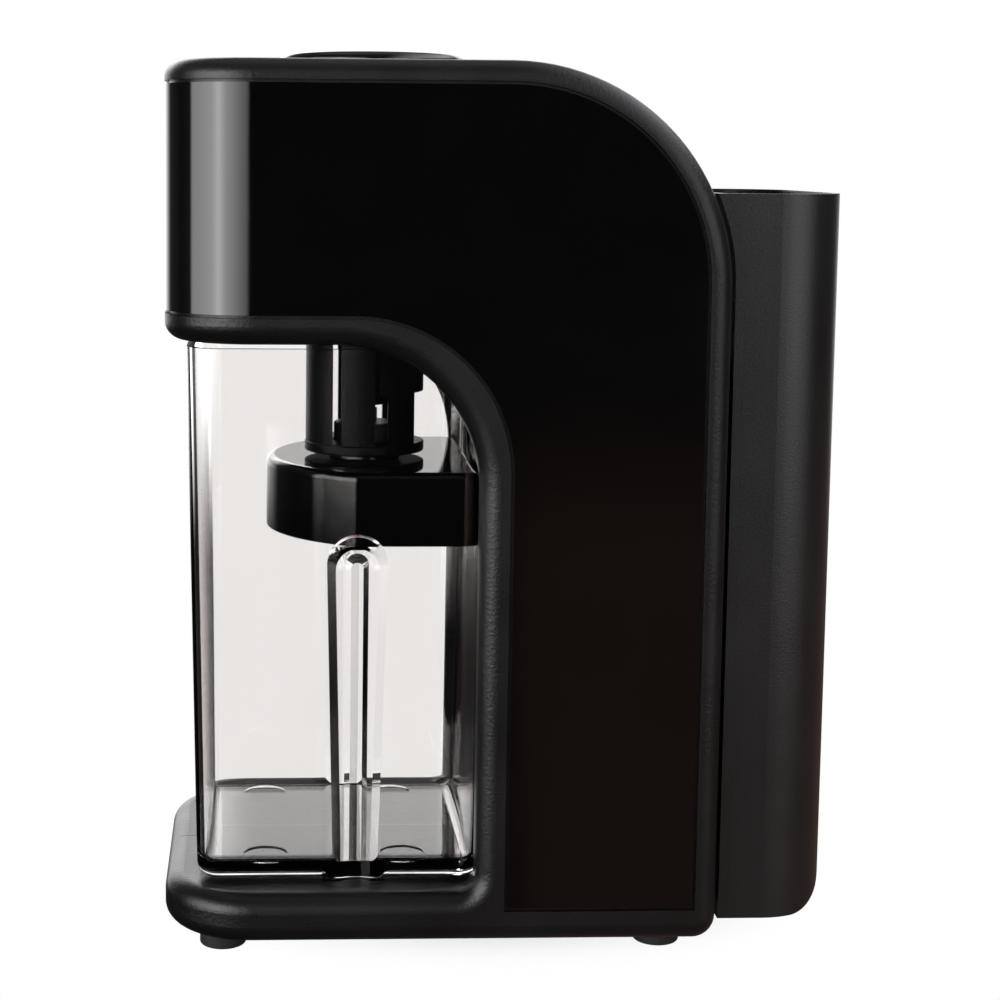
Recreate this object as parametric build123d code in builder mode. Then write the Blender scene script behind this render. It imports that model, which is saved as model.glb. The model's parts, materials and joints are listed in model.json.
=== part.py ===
"""Countertop milk frother: C-shaped case, clear milk jug, D-shaped froth chamber, rear tank.

Millimetres, +Z up.  The front of the appliance (jug side) faces -X, the rear tank +X.
The origin is under the middle of the overall box, on the counter.
"""
import os

from build123d import *

os.makedirs("parts", exist_ok=True)


COUNTER_Z = 1.0         # height of the counter top in the drawing's own datum


def save(builder, node):
    """Write one sub-part, set down so that the counter is at z = 0."""
    placed = builder.part.moved(Location((0, 0, -COUNTER_Z)))
    placed.label = node
    export_step(placed, "parts/" + node + ".step")


# ---------------------------------------------------------------- driving dimensions
FRONT = -101.5          # front plane of head and base
REAR = 64.2             # rear plane of the case
CASE_HALF = 56.0        # half width of the case
BASE_Z = 5.0            # underside of the base
DECK_Z = 19.8           # top of the base, where the jug stands
CHIN_Z = 183.4          # underside of the head
TOP_Z = 265.6           # top of the head
COLUMN_X = -8.4         # front plane of the column
BACK_R = 65.0           # big arc from head top to column rear
THROAT_R = 42.5         # inner arc from head underside to column front
DECK_R = 6.0            # small arc from column front to base top
HEEL_R = 7.0            # rear bottom corner
NOSE_R = 26.0           # plan corners at the front
EDGE_R = 5.5            # rounding of the outer edges
RECESS = 6.8            # depth of the bay that the jug's back nests in
RECESS_HALF = 46.6      # half width of that bay
WALL = 3.0              # case wall
SIDE_WALL = 4.0         # side wall, gloss cover included
COVER_T = 1.6           # gloss cover thickness
GROOVE = 1.0            # groove around the gloss cover

AXIS_X = -40.1          # drive and whisk axis
BUTTON_X = -38.8

TANK_REAR = 101.5
TANK_HALF = 47.3
TANK_Z = 9.0
TANK_TOP = 227.9
TANK_R = 22.0           # plan corners at the rear
TANK_WALL = 2.2
TANK_HEEL_R = 13.0      # rear bottom corner

JUG_TAPER = 1.13        # draft of the jug walls, degrees
JUG_FRONT = -91.6       # at the jug foot
JUG_BACK = -5.6
JUG_HALF = 42.6
JUG_R = 6.5
JUG_TOP = 181.6
JUG_WALL = 2.4
JUG_FLOOR = 24.7
RIB_X = -43.8
RIB_TOP = 122.4
RIB_W = 20.0
RIB_SLOPE = 52           # slope of the rib sides, degrees

CHAMBER_Z = 122.4
CHAMBER_TOP = 144.4
CHAMBER_R = 45.5
CHAMBER_FRONT = -70.8
CHAMBER_BACK = -7.2
CHAMBER_HALF = 41.2
NECK_TOP = 145.6
TOWER_R = 18.5          # pillars of the tower under the head


# ---------------------------------------------------------------- shared outlines
def case_outline():
    """C-shaped side outline of the case, drawn on the XZ plane."""
    with BuildLine() as line:
        a0 = (FRONT, BASE_Z)
        a1 = (REAR - HEEL_R, BASE_Z)
        a2 = (REAR, BASE_Z + HEEL_R)
        a3 = (REAR, TOP_Z - BACK_R)
        a4 = (REAR - BACK_R, TOP_Z)
        a5 = (FRONT, TOP_Z)
        a6 = (FRONT, CHIN_Z)
        a7 = (COLUMN_X - THROAT_R, CHIN_Z)
        a8 = (COLUMN_X, CHIN_Z - THROAT_R)
        a9 = (COLUMN_X, DECK_Z + DECK_R)
        a10 = (COLUMN_X - DECK_R, DECK_Z)
        a11 = (FRONT, DECK_Z)
        Line(a0, a1)
        RadiusArc(a1, a2, -HEEL_R)
        Line(a2, a3)
        RadiusArc(a3, a4, -BACK_R)
        Line(a4, a5)
        Line(a5, a6)
        Line(a6, a7)
        RadiusArc(a7, a8, THROAT_R)
        Line(a8, a9)
        RadiusArc(a9, a10, DECK_R)
        Line(a10, a11)
        Line(a11, a0)
    return line.line


def bay_outline():
    """Side outline of the case along the jug bay, between the two side frames."""
    throat_x = COLUMN_X - THROAT_R
    throat_z = CHIN_Z - THROAT_R
    bay_r = THROAT_R + RECESS
    start_x = throat_x + (bay_r ** 2 - THROAT_R ** 2) ** 0.5
    with BuildLine() as line:
        b0 = (FRONT, BASE_Z)
        b1 = (REAR - HEEL_R, BASE_Z)
        b2 = (REAR, BASE_Z + HEEL_R)
        b3 = (REAR, TOP_Z - BACK_R)
        b4 = (REAR - BACK_R, TOP_Z)
        b5 = (FRONT, TOP_Z)
        b6 = (FRONT, CHIN_Z)
        b7 = (start_x, CHIN_Z)
        b8 = (throat_x + bay_r, throat_z)
        b9 = (throat_x + bay_r, DECK_Z)
        b10 = (FRONT, DECK_Z)
        Line(b0, b1)
        RadiusArc(b1, b2, -HEEL_R)
        Line(b2, b3)
        RadiusArc(b3, b4, -BACK_R)
        Line(b4, b5)
        Line(b5, b6)
        Line(b6, b7)
        RadiusArc(b7, b8, bay_r)
        Line(b8, b9)
        Line(b9, b10)
        Line(b10, b0)
    return line.line


def panel_outline(grow):
    """Side outline of the gloss cover, grown outwards by the given amount."""
    left = 1.0 - grow
    right = REAR - 8.0 + grow
    bottom = 15.8 - grow
    top = TOP_Z - 7.1 + grow
    chin = 192.2 - grow
    nose = FRONT - 10
    inner_r = 46.5 - grow
    outer_r = BACK_R - 8.0 + grow
    with BuildLine() as line:
        p0 = (left, bottom)
        p1 = (right, bottom)
        p2 = (right, top - outer_r)
        p3 = (right - outer_r, top)
        p4 = (nose, top)
        p5 = (nose, chin)
        p6 = (left - inner_r, chin)
        p7 = (left, chin - inner_r)
        Line(p0, p1)
        Line(p1, p2)
        RadiusArc(p2, p3, -outer_r)
        Line(p3, p4)
        Line(p4, p5)
        Line(p5, p6)
        RadiusArc(p6, p7, inner_r)
        Line(p7, p0)
    return line.line


SIDE = Plane.XZ          # its normal is -Y


def side_prism(wire, half):
    """Prism of a closed side outline, symmetric about the middle plane."""
    with BuildPart() as prism:
        with BuildSketch(SIDE):
            add(wire)
            make_face()
        extrude(amount=half, both=True)
    return prism.part


def near(value, target, tol=0.05):
    return abs(value - target) < tol


# ---------------------------------------------------------------- case bodies
with BuildPart() as case_solid:
    with BuildSketch(SIDE):
        add(case_outline())
        make_face()
    extrude(amount=CASE_HALF, both=True)
    nose_edges = []
    for e in case_solid.edges().filter_by(Axis.Z):
        c = e.center()
        if near(c.X, FRONT) and near(abs(c.Y), CASE_HALF):
            nose_edges.append(e)
    fillet(nose_edges, NOSE_R)
    rim_edges = []
    for e in case_solid.edges():
        mid = e.position_at(0.5)
        ends = [e.position_at(0), e.position_at(1)]
        flat = all(near(p.Z, ends[0].Z) for p in ends + [mid])
        on_side = near(abs(mid.Y), CASE_HALF)
        if on_side or (flat and mid.X < -70):
            rim_edges.append(e)
    fillet(rim_edges, EDGE_R)

bay_side = side_prism(bay_outline(), 80)
with BuildPart() as bay:
    add(side_prism(case_outline(), RECESS_HALF))
    add(bay_side, mode=Mode.SUBTRACT)

with BuildPart() as case_body:
    add(case_solid.part)
    add(bay.part, mode=Mode.SUBTRACT)


def plan_prism(inset):
    """Prism of the case's plan outline, drawn inside it by the given amount."""
    with BuildPart() as prism:
        with BuildSketch() as plan:
            with Locations(((FRONT + inset + 200) / 2, 0)):
                Rectangle(200 - FRONT - inset, 2 * (CASE_HALF - inset))
            nose = [v for v in plan.vertices() if v.X < 0]
            fillet(nose, NOSE_R - inset)
        extrude(amount=300)
    return prism.part


case_side = side_prism(case_outline(), 80)
with BuildPart() as cover_core:
    add(case_side)
    add(plan_prism(COVER_T), mode=Mode.INTERSECT)

with BuildPart() as cavity:
    with BuildSketch(SIDE):
        add(bay_outline())
        make_face()
        offset(amount=-WALL)
    extrude(amount=80, both=True)
    add(plan_prism(SIDE_WALL), mode=Mode.INTERSECT)

with BuildPart() as seam_band:
    add(bay_side)
    add(plan_prism(-1), mode=Mode.INTERSECT)
    with BuildSketch(SIDE):
        add(bay_outline())
        make_face()
        offset(amount=-0.45)
    extrude(amount=80, both=True, mode=Mode.SUBTRACT)
    Box(400, 0.3, 600, mode=Mode.INTERSECT)

# ---------------------------------------------------------------- gloss cover
with BuildPart() as gloss_cover:
    add(case_solid.part)
    add(side_prism(panel_outline(0), 80), mode=Mode.INTERSECT)
    add(cover_core.part, mode=Mode.SUBTRACT)
save(gloss_cover, "gloss_cover")

with BuildPart() as cover_pocket:
    add(side_prism(panel_outline(GROOVE), 80))
    add(cover_core.part, mode=Mode.SUBTRACT)

# ---------------------------------------------------------------- housing halves
BUTTON_HOLE_R = 29.2
GLAND_X = 34.0
GLAND_Z = 10.4
BOSSES = [(-80.0, 225.0), (-20.0, 251.0), (8.0, 205.0), (49.0, 165.0),
          (4.8, 100.0), (50.0, 40.0), (10.0, 16.0)]
FEET = [(-83.6, 42.0), (48.2, 42.0)]
RAIL_HOLES_Z = (60.0, 110.0, 160.0)
RAIL_HOLE_Y = 14.0
BOARD_HOLES = [(14.5, 66.0), (54.5, 66.0), (14.5, 134.0), (54.5, 134.0)]
BOARD_BACK_Y = 14.0     # face of the board against its standoffs
BOARD_FRONT_Y = 12.4    # face that carries the components
BOARD_SCREW_R = 1.2
SHELF_SCREWS_X = (-60.0, -20.0)
SHELF_SCREW_Y = 37.0
SHELF_Z = 190.0
SHELF_T = 3.0
COLLAR_R = 6.5


def housing_half(side):
    """One half shell of the case; side is +1 for the left half, -1 for the right."""
    with BuildPart() as half:
        add(case_body.part)
        add(cavity.part, mode=Mode.SUBTRACT)
        add(cover_pocket.part, mode=Mode.SUBTRACT)
        add(seam_band.part, mode=Mode.SUBTRACT)
        with Locations((0, side * 300, 150)):
            Box(600, 600, 400, mode=Mode.INTERSECT)
        wall_y = side * (CASE_HALF - SIDE_WALL + 0.5)
        for bx, bz in BOSSES:
            with BuildSketch(SIDE):
                with Locations((bx, bz)):
                    Circle(4.2)
            extrude(amount=-wall_y)
        # shelf that carries the drive in the head, with a gusset under it
        with Locations((-40, side * (CASE_HALF - SIDE_WALL - 10 + 0.5), SHELF_Z + SHELF_T / 2)):
            Box(56, 21, SHELF_T)
        with Locations((-40, side * (CASE_HALF - SIDE_WALL - 10 + 0.5), SHELF_Z - 2)):
            Box(3, 21, 4.5)
        for rx in SHELF_SCREWS_X:
            with Locations((rx, side * SHELF_SCREW_Y, SHELF_Z - 2.75)):
                Cylinder(3.2, 6.5)
        # button opening, drive opening and foot sockets
        with Locations((BUTTON_X, 0, TOP_Z)):
            Cylinder(BUTTON_HOLE_R, 20, mode=Mode.SUBTRACT)
        with Locations((AXIS_X, 0, CHIN_Z)):
            Cylinder(COLLAR_R + 0.1, 14, mode=Mode.SUBTRACT)
        for fx, fy in FEET:
            with Locations((fx, side * fy, BASE_Z + 1)):
                Cylinder(3.0, 6, mode=Mode.SUBTRACT)
        for rx in SHELF_SCREWS_X:
            with Locations((rx, side * SHELF_SCREW_Y, SHELF_Z)):
                Cylinder(1.25, 12.0, mode=Mode.SUBTRACT)
        for rz in RAIL_HOLES_Z:
            with Locations(Location((REAR, side * RAIL_HOLE_Y, rz), (0, 90, 0))):
                Cylinder(1.6, 12, mode=Mode.SUBTRACT)
        # pilot holes along the screw bosses
        for bx, bz in BOSSES:
            with Locations(Location((bx, 0, bz), (90, 0, 0))):
                if side > 0:
                    Cylinder(1.7, 400, mode=Mode.SUBTRACT)
                else:
                    Cylinder(1.3, 28, mode=Mode.SUBTRACT)
            if side > 0:
                with Locations(Location((bx, 8 + 60, bz), (90, 0, 0))):
                    Cylinder(3.1, 120, mode=Mode.SUBTRACT)
        if side > 0:
            with Locations(Location((GLAND_X, CASE_HALF, GLAND_Z), (90, 0, 0))):
                Cylinder(4.0, 20, mode=Mode.SUBTRACT)
            # standoffs for the control board
            for sx, sz in BOARD_HOLES:
                with BuildSketch(SIDE.offset(-BOARD_BACK_Y)):
                    with Locations((sx, sz)):
                        Circle(3.0)
                extrude(amount=-(CASE_HALF - SIDE_WALL - BOARD_BACK_Y + 0.5))
                with Locations(Location((sx, BOARD_BACK_Y + 4.0, sz), (90, 0, 0))):
                    Cylinder(BOARD_SCREW_R, 8.4, mode=Mode.SUBTRACT)
    return half


# The lower rear corner of the left half is a piece of its own and carries the cord gland.
INLET_X = 16.0
INLET_Z = 34.0
PART_LINE = 0.1

left_half = housing_half(1)
with BuildPart() as left_housing:
    add(left_half.part)
    with Locations((INLET_X + 50.0, 50.0, INLET_Z - 50.0)):
        Box(100.0, 120.0, 100.0, mode=Mode.SUBTRACT)
save(left_housing, "left_housing")

with BuildPart() as inlet_shell:
    add(left_half.part)
    with Locations((INLET_X + PART_LINE + 50.0, 50.0, INLET_Z - PART_LINE - 50.0)):
        Box(100.0, 120.0, 100.0, mode=Mode.INTERSECT)
save(inlet_shell, "inlet_shell")

right_housing = housing_half(-1)
save(right_housing, "right_housing")

with BuildPart() as housing_screws:
    for bx, bz in BOSSES:
        with Locations(Location((bx, 9.0, bz), (90, 0, 0))):
            Cylinder(2.8, 2.0)
        with Locations(Location((bx, -2.0, bz), (90, 0, 0))):
            Cylinder(1.25, 20.0)
save(housing_screws, "housing_screws")

# ---------------------------------------------------------------- feet
FOOT_R = 7.0
FOOT_PEG_R = 2.95
foot_number = 0
for fx, fy in FEET:
    for sy in (-1, 1):
        foot_number += 1
        with BuildPart() as foot:
            with Locations((fx, sy * fy, (COUNTER_Z + BASE_Z) / 2)):
                Cylinder(FOOT_R, BASE_Z - COUNTER_Z)
            fillet(foot.edges().sort_by(Axis.Z)[0], 0.8)
            with Locations((fx, sy * fy, BASE_Z + 1.5)):
                Cylinder(FOOT_PEG_R, 3.0)
        save(foot, "foot_%d" % foot_number)

# ---------------------------------------------------------------- cord gland
with BuildPart() as cord_gland:
    with Locations(Location((GLAND_X, CASE_HALF + 0.8, GLAND_Z), (90, 0, 0))):
        Cylinder(5.0, 1.6)
    fillet(cord_gland.edges().filter_by(GeomType.CIRCLE).sort_by(Axis.Y)[-1], 0.7)
    with Locations(Location((GLAND_X, CASE_HALF - 3.0, GLAND_Z), (90, 0, 0))):
        Cylinder(3.9, 6.0)
    with Locations(Location((GLAND_X, CASE_HALF, GLAND_Z), (90, 0, 0))):
        Cylinder(2.6, 30, mode=Mode.SUBTRACT)
save(cord_gland, "cord_gland")

# ---------------------------------------------------------------- drive in the head
TOWER_BORE_R = 14.2
SLEEVE_R = 6.6          # sleeve round the shaft inside the tower
SLEEVE_FOOT = 160.5
TOWER_PILLARS = [(-60.0, -50.6), (-47.9, -37.7), (-33.6, -25.1)]    # from x to x
TOWER_FOOT = 145.9      # underside of the tower flange
CARRIER_Z = TOWER_FOOT + 1.7
MOTOR_Z = 197.0
MOTOR_TOP = 236.0
MOTOR_R = 16.0

with BuildPart() as motor_mount:
    with Locations((-40.0, 0, SHELF_Z + SHELF_T + 1.5)):
        Box(52, 84, 3)
    fillet(motor_mount.edges().filter_by(Axis.Z), 5)
    with Locations((AXIS_X, 0, MOTOR_Z - 0.5)):
        Cylinder(19, 3)
    with Locations((AXIS_X, 0, MOTOR_Z)):
        Cylinder(MOTOR_R + 0.1, 2, mode=Mode.SUBTRACT)
    with Locations((AXIS_X, 0, MOTOR_Z)):
        Cylinder(5.2, 20, mode=Mode.SUBTRACT)
    for rx in SHELF_SCREWS_X:
        for sy in (-1, 1):
            with Locations((rx, sy * SHELF_SCREW_Y, SHELF_Z)):
                Cylinder(1.7, 20, mode=Mode.SUBTRACT)
save(motor_mount, "motor_mount")

with BuildPart() as mount_screws:
    for rx in SHELF_SCREWS_X:
        for sy in (-1, 1):
            with Locations((rx, sy * SHELF_SCREW_Y, SHELF_Z + SHELF_T + 4.0)):
                Cylinder(2.8, 2.0)
            with Locations((rx, sy * SHELF_SCREW_Y, SHELF_Z + 2.0)):
                Cylinder(1.2, 10.0)
save(mount_screws, "mount_screws")

with BuildPart() as motor_can:
    with Locations((AXIS_X, 0, (MOTOR_Z - 1 + MOTOR_TOP) / 2)):
        Cylinder(MOTOR_R, MOTOR_TOP - MOTOR_Z + 1)
    fillet(motor_can.edges().filter_by(GeomType.CIRCLE), 1.2)
    with Locations((AXIS_X, 0, MOTOR_Z)):
        Cylinder(13.6, 400, mode=Mode.SUBTRACT)
save(motor_can, "motor_can")

with BuildPart() as lower_bearing:
    with Locations((AXIS_X, 0, MOTOR_Z + 1.0)):
        Cylinder(13.6, 4.0)
    with Locations((AXIS_X, 0, MOTOR_Z - 2.0)):
        Cylinder(5.0, 3.0)
    with Locations((AXIS_X, 0, MOTOR_Z)):
        Cylinder(2.04, 40, mode=Mode.SUBTRACT)
save(lower_bearing, "lower_bearing")

with BuildPart() as upper_bearing:
    with Locations((AXIS_X, 0, MOTOR_TOP - 2.0)):
        Cylinder(13.6, 4.0)
    with Locations((AXIS_X, 0, MOTOR_TOP + 1.0)):
        Cylinder(5.0, 3.0)
    for ang in (60, 240):
        with Locations(Location((AXIS_X, 0, MOTOR_TOP), (0, 0, ang))):
            with Locations((9.0, 0, 1.5)):
                Box(1.0, 4.0, 5.0)
    with Locations((AXIS_X, 0, MOTOR_TOP)):
        Cylinder(2.04, 40, mode=Mode.SUBTRACT)
save(upper_bearing, "upper_bearing")

# rotor: shaft, armature, cooling fan above the motor, magnet carrier at the tower foot
with BuildPart() as motor_shaft:
    with Locations((AXIS_X, 0, (CARRIER_Z + 243.0) / 2)):
        Cylinder(2.0, 243.0 - CARRIER_Z)
save(motor_shaft, "motor_shaft")

with BuildPart() as armature:
    with Locations((AXIS_X, 0, 216.0)):
        Cylinder(11.8, 22.0)
        Cylinder(2.0, 30.0, mode=Mode.SUBTRACT)
    with Locations((AXIS_X, 0, 216.0)):
        with PolarLocations(11.2, 5):
            Box(5.0, 1.6, 30.0, mode=Mode.SUBTRACT)
save(armature, "armature")

with BuildPart() as drive_magnet_carrier:
    with Locations((AXIS_X, 0, CARRIER_Z + 3.6)):
        Cylinder(9.6, 7.2)
    fillet(drive_magnet_carrier.edges().sort_by(Axis.Z)[-1], 0.8)
    with Locations((AXIS_X, 0, CARRIER_Z + 9.0)):
        Cylinder(4.0, 5.0)
        Cylinder(2.0, 30.0, mode=Mode.SUBTRACT)
    with Locations((AXIS_X, 0, CARRIER_Z)):
        with PolarLocations(6.2, 4):
            Cylinder(2.5, 3.0, mode=Mode.SUBTRACT)
save(drive_magnet_carrier, "drive_magnet_carrier")

with BuildPart() as drive_magnets:
    with Locations((AXIS_X, 0, CARRIER_Z + 0.75)):
        with PolarLocations(6.2, 4):
            Cylinder(2.5, 1.5)
save(drive_magnets, "drive_magnets")

with BuildPart() as cooling_fan:
    with Locations((AXIS_X, 0, 241.0)):
        Cylinder(4.0, 3.4)
        Cylinder(13.5, 0.8)
    with Locations((AXIS_X, 0, 242.0)):
        with PolarLocations(8.5, 8):
            Box(9.6, 0.9, 2.0)
    with Locations((AXIS_X, 0, 241.0)):
        Cylinder(2.0, 12.0, mode=Mode.SUBTRACT)
save(cooling_fan, "cooling_fan")

# ---------------------------------------------------------------- button and switch
STEM_X = -60.0
STEM_R = 2.8
BUTTON_R = 28.8
BUTTON_TOP = 268.9
BUTTON_FOOT = 260.4
BUTTON_CEILING = 266.5      # underside of the button's top
FLANGE_R = 30.9             # lip that keeps the button under the case top

with BuildPart() as button:
    with Locations((BUTTON_X, 0, (BUTTON_FOOT + BUTTON_TOP) / 2)):
        Cylinder(BUTTON_R, BUTTON_TOP - BUTTON_FOOT)
    fillet(button.edges().filter_by(GeomType.CIRCLE).sort_by(Axis.Z)[-1], 2.6)
    with Locations((BUTTON_X, 0, BUTTON_FOOT + 0.8)):
        Cylinder(FLANGE_R, 1.6)
    with Locations((BUTTON_X, 0, BUTTON_CEILING - 5.0)):
        Cylinder(BUTTON_R - 2.0, 10.0, mode=Mode.SUBTRACT)
    with Locations((STEM_X, 0, 257.9)):
        Cylinder(STEM_R, 19.2)
save(button, "button")

with BuildPart() as switch_bracket:
    with Locations((STEM_X - 5, 0, 247.0)):
        Box(22, 30, 2)
    with Locations((STEM_X, 0, 248.5)):
        Cylinder(5.0, 3.0)
    for sy in (-1, 1):
        with Locations((STEM_X - 5, sy * 14, 222.0)):
            Box(12, 2, 50)
        with Locations((STEM_X - 1, sy * 17, 198.0)):
            Box(12, 8, 2)
    with Locations((STEM_X, 0, 245.0)):
        Cylinder(3.1, 12.0, mode=Mode.SUBTRACT)
save(switch_bracket, "switch_bracket")

with BuildPart() as switch_body:
    with Locations((STEM_X - 1.0, 0, 238.5)):
        Box(6.4, 20, 11)
    for sy in (-7, 0, 7):
        with Locations((STEM_X - 1.0, sy, 231.5)):
            Box(0.8, 3.0, 5.0)
save(switch_body, "switch_body")

with BuildPart() as switch_plunger:
    with Locations((STEM_X, 0, 245.0)):
        Cylinder(1.4, 2.0)
save(switch_plunger, "switch_plunger")

# spring around the button stem: a stack of rings joined by short webs
SPRING_TURNS = 7
SPRING_R = 4.0
SPRING_WIRE_R = 0.45
SPRING_FOOT = 250.7
SPRING_PITCH = 2.5

with BuildPart() as button_spring:
    for k in range(SPRING_TURNS):
        ring_z = SPRING_FOOT + SPRING_PITCH * k
        with Locations((STEM_X, 0, ring_z)):
            Torus(SPRING_R, SPRING_WIRE_R)
        if k < SPRING_TURNS - 1:
            web_side = 1 if k % 2 else -1
            with Locations((STEM_X, web_side * SPRING_R, ring_z + SPRING_PITCH / 2)):
                Box(0.8, 0.6, SPRING_PITCH - 0.2)
save(button_spring, "button_spring")

# ---------------------------------------------------------------- control board
with BuildPart() as control_board:
    with Locations((34.3, (BOARD_FRONT_Y + BOARD_BACK_Y) / 2, 100.0)):
        Box(50, BOARD_BACK_Y - BOARD_FRONT_Y, 78)
    for sx, sz in BOARD_HOLES:
        with Locations(Location((sx, 13.2, sz), (90, 0, 0))):
            Cylinder(1.6, 4, mode=Mode.SUBTRACT)
save(control_board, "control_board")

with BuildPart() as board_screws:
    for sx, sz in BOARD_HOLES:
        with Locations(Location((sx, 11.6, sz), (90, 0, 0))):
            Cylinder(2.6, 1.6)
        with Locations(Location((sx, 15.0, sz), (90, 0, 0))):
            Cylinder(1.2, 6.0)
save(board_screws, "board_screws")

with BuildPart() as transformer:
    with Locations((32.0, BOARD_FRONT_Y - 12.0, 84.0)):
        Box(26, 24, 22)
    fillet(transformer.edges().filter_by(Axis.Y), 2)
save(transformer, "transformer")

with BuildPart() as capacitors:
    for cx, cz, cr in ((20.0, 112.0, 5.0), (34.0, 112.0, 5.0), (46.0, 110.0, 4.0)):
        with Locations(Location((cx, BOARD_FRONT_Y - 9.0, cz), (90, 0, 0))):
            Cylinder(cr, 18.0)
save(capacitors, "capacitors")

with BuildPart() as terminal_block:
    with Locations((32.0, BOARD_FRONT_Y - 5.0, 128.0)):
        Box(24, 10, 9)
    with Locations((32.0, 2.0, 128.0)):
        with GridLocations(7.0, 1, 3, 1):
            Box(3.4, 6.0, 3.4, mode=Mode.SUBTRACT)
save(terminal_block, "terminal_block")

# ---------------------------------------------------------------- jug
def jug_prism(inset, z0, z1):
    """Tapered rounded-rectangle prism, inset measured at the jug foot."""
    with BuildPart() as prism:
        with BuildSketch(Plane.XY.offset(DECK_Z)):
            with Locations(((JUG_FRONT + JUG_BACK) / 2, 0)):
                RectangleRounded(JUG_BACK - JUG_FRONT - 2 * inset, 2 * (JUG_HALF - inset),
                                 JUG_R - inset)
        extrude(amount=JUG_TOP - DECK_Z + 2, taper=-JUG_TAPER)
        with Locations((0, 0, (z0 + z1) / 2)):
            Box(400, 400, z1 - z0, mode=Mode.INTERSECT)
    return prism.part


def rib_prism(side, width, top, start, depth):
    """Arched rib or flute in a side wall, narrowing towards the inside."""
    with BuildPart() as prism:
        with BuildSketch(Plane(origin=(RIB_X, side * start, 0), x_dir=(1, 0, 0),
                               z_dir=(0, -side, 0))):
            r = width / 2
            with Locations((0, side * (top - r))):
                Circle(r)
            with Locations((0, side * (top - r + 10) / 2)):
                Rectangle(width, top - r - 10)
        extrude(amount=depth, taper=RIB_SLOPE)
    return prism.part


with BuildPart() as jug_hollow:
    add(jug_prism(JUG_WALL, JUG_FLOOR, JUG_TOP + 1))
    fillet(jug_hollow.edges().group_by(Axis.Z)[0], 3.2)

with BuildPart() as jug:
    add(jug_prism(0, DECK_Z, JUG_TOP))
    fillet(jug.edges().group_by(Axis.Z)[0], 5.0)
    add(jug_hollow.part, mode=Mode.SUBTRACT)
    for s in (-1, 1):
        add(rib_prism(s, RIB_W, RIB_TOP + 4.5, JUG_HALF + 0.2, 4.4))
    with Locations((RIB_X, 0, RIB_TOP + 30)):
        Box(30, 2 * CHAMBER_HALF + 0.8, 60, mode=Mode.SUBTRACT)
    with Locations((0, 0, DECK_Z / 2)):
        Box(400, 400, DECK_Z, mode=Mode.SUBTRACT)
    for s in (-1, 1):
        add(rib_prism(s, RIB_W - 4.0, RIB_TOP + 1.0, JUG_HALF + 3.0, 4.8), mode=Mode.SUBTRACT)
    # rim runs parallel to the arc at the top of the bay
    with BuildSketch(SIDE):
        with Locations((COLUMN_X, CHIN_Z)):
            Rectangle(2 * THROAT_R, 2 * THROAT_R)
        with Locations((COLUMN_X - THROAT_R, CHIN_Z - THROAT_R)):
            Circle(THROAT_R + RECESS - 1.2, mode=Mode.SUBTRACT)
    extrude(amount=80, both=True, mode=Mode.SUBTRACT)
    # dip in the back rim that clears the tower as the jug slides out
    with Locations((JUG_BACK, 0, NECK_TOP + 20.0 - 0.3)):
        Box(24.0, 2 * TOWER_R + 8.0, 40.0, mode=Mode.SUBTRACT)
    for mx in (-70.8, -28.8):
        for my in (-30.4, 30.4):
            with Locations((mx, my, JUG_FLOOR)):
                Cylinder(6.8, 0.8, mode=Mode.SUBTRACT)
save(jug, "jug")

# ---------------------------------------------------------------- froth chamber in the jug
def d_prism(inset, z0, z1):
    """D-shaped prism: arc at the front, flat sides and back."""
    r = CHAMBER_R - inset
    cx = CHAMBER_FRONT + CHAMBER_R
    with BuildPart() as prism:
        with BuildSketch(Plane.XY.offset(z0)):
            with Locations((cx, 0)):
                Circle(r)
            with Locations(((CHAMBER_BACK - inset - 120) / 2, 0)):
                Rectangle(CHAMBER_BACK - inset + 120, 2 * (CHAMBER_HALF - inset),
                          mode=Mode.INTERSECT)
        extrude(amount=z1 - z0)
    return prism.part


with BuildPart() as froth_chamber:
    add(d_prism(0, CHAMBER_Z, CHAMBER_TOP))
    uprights = froth_chamber.edges().filter_by(Axis.Z).sort_by(Axis.X)
    fillet(uprights[-2:], 5.0)
    uprights = froth_chamber.edges().filter_by(Axis.Z).sort_by(Axis.X)
    fillet(uprights[:2], 1.6)
    fillet(froth_chamber.faces().sort_by(Axis.Z)[-1].edges(), 2.4)
    add(d_prism(2.2, CHAMBER_Z - 1, CHAMBER_TOP - 2.4), mode=Mode.SUBTRACT)
    # low neck over the driven magnets, closed at the top
    with Locations((AXIS_X, 0, CHAMBER_TOP + 0.2)):
        Cylinder(11.0, NECK_TOP * 2 - CHAMBER_TOP * 2 - 0.4)
    with Locations((AXIS_X, 0, NECK_TOP - 1.0 - 2.0)):
        Cylinder(10.0, 4.0, mode=Mode.SUBTRACT)
    with Locations((AXIS_X, 0, CHAMBER_TOP - 2.0)):
        Cylinder(10.0, 4.0, mode=Mode.SUBTRACT)
save(froth_chamber, "froth_chamber")

with BuildPart() as chamber_grille:
    add(d_prism(2.25, CHAMBER_Z, CHAMBER_Z + 1.8))
    uprights = chamber_grille.edges().filter_by(Axis.Z).sort_by(Axis.X)
    fillet(uprights[-2:], 2.6)
    for gy in range(-32, 33, 8):
        if gy == 0:
            continue
        with Locations((-41.0, gy, CHAMBER_Z)):
            Box(42.0 if abs(gy) < 20 else 24.0, 3.6, 6, mode=Mode.SUBTRACT)
    with Locations((AXIS_X, 0, CHAMBER_Z + 2.2)):
        Cylinder(4.0, 4.4)
    with Locations((AXIS_X, 0, CHAMBER_Z + 4.4)):
        Cylinder(2.05, 5.0, mode=Mode.SUBTRACT)
save(chamber_grille, "chamber_grille")

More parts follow.
